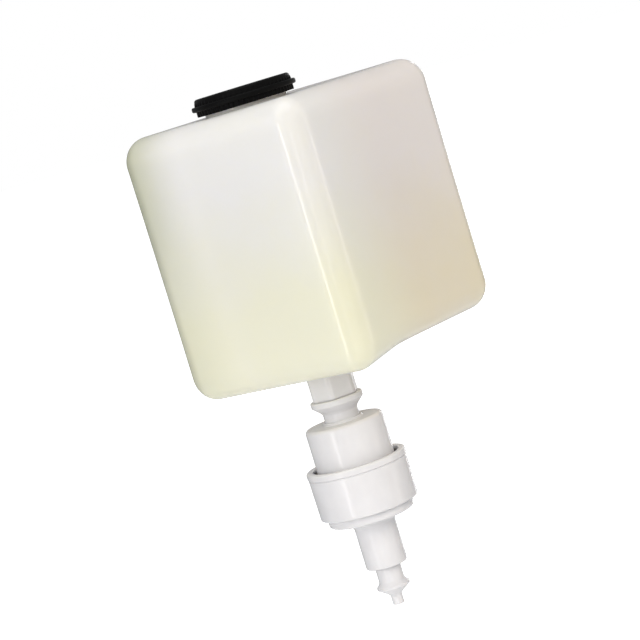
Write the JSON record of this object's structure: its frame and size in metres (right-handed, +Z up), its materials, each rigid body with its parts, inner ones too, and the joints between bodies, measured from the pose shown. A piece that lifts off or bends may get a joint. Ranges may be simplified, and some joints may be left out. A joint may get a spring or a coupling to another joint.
{
  "type": "soap dispenser tank with pump",
  "caption": "Upright refillable soap tank with a screw filler cap on top and an inverted spring-return foam pump hanging below, worked by pushing up its stepped skirt.",
  "frame": {"origin": "on the pump axis in the plane of the tank's flat underside, where the dispenser's cradle carries it", "axes": "+Z up along the pump axis towards the filler cap; +X across the width; -Y towards the front; the pump and nozzle point down -Z"},
  "size_m": [0.097, 0.107, 0.2317],
  "materials": {
    "tank_polyethylene": "translucent natural polyethylene, satin",
    "pump_polypropylene": "white polypropylene, gloss",
    "cap_polypropylene": "black polypropylene, fine moulded",
    "seal_rubber": "black elastomer",
    "clear_silicone": "clear silicone",
    "piston_polyethylene": "natural polyethylene, lips as moulded",
    "spring_steel": "drawn stainless wire",
    "ball_steel": "polished stainless ball",
    "screen_nylon": "woven nylon mesh in a frame",
    "liner_foam": "polyethylene foam sheet"
  },
  "bodies": {
    "tank": {"tank_shell": "tank_polyethylene", "outlet_fitting": "pump_polypropylene", "outlet_nut": "pump_polypropylene", "outlet_washer": "seal_rubber", "strainer": "pump_polypropylene", "pump_neck": "pump_polypropylene", "neck_oring": "seal_rubber", "air_cylinder": "pump_polypropylene", "stop_ring": "pump_polypropylene", "inlet_seat": "pump_polypropylene", "inlet_cage": "pump_polypropylene", "return_spring": "spring_steel"},
    "plunger": {"actuator_skirt": "pump_polypropylene", "push_ring": "pump_polypropylene", "nozzle_sleeve": "pump_polypropylene", "piston_rod": "pump_polypropylene", "liquid_piston": "piston_polyethylene", "air_piston": "piston_polyethylene", "mixing_chamber": "pump_polypropylene", "screen_cartridge": "pump_polypropylene", "upper_screen": "screen_nylon", "lower_screen": "screen_nylon", "nozzle_tip": "pump_polypropylene", "drip_valve": "clear_silicone", "outlet_spring": "spring_steel"},
    "inlet_ball": {"inlet_ball": "ball_steel"},
    "outlet_ball": {"outlet_ball": "ball_steel"},
    "liner": {"cap_liner": "liner_foam"},
    "cap": {"filler_cap": "cap_polypropylene", "vent_valve": "clear_silicone"}
  },
  "joints": [
    {"name": "pump_stroke", "type": "slide", "parent": "tank", "child": "plunger", "axis": [0, 0, 1], "range_m": [0, 0.012], "stiffness_N_per_m": 500, "springref_m": -0.01, "deforming": ["return_spring"]},
    {"name": "inlet_ball_lift", "type": "slide", "parent": "tank", "child": "inlet_ball", "axis": [0, 0, 1], "range_m": [0, 0.0012]},
    {"name": "outlet_ball_drop", "type": "slide", "parent": "plunger", "child": "outlet_ball", "axis": [0, 0, -1], "range_m": [0, 0.0012], "stiffness_N_per_m": 10, "springref_m": -0.005, "deforming": ["outlet_spring"]},
    {"name": "cap_lift", "type": "slide", "parent": "tank", "child": "liner", "axis": [0, 0, 1], "range_m": [0, 0.012]},
    {"name": "cap_turn", "type": "hinge", "parent": "liner", "child": "cap", "pos_m": [0, 0, 0.1192], "axis": [0, 0, 1], "range_deg": [0, 720]}
  ],
  "couplings": [
    {"joint": "cap_turn", "follows": "cap_lift", "rad_per_m": 1047.2}
  ]
}
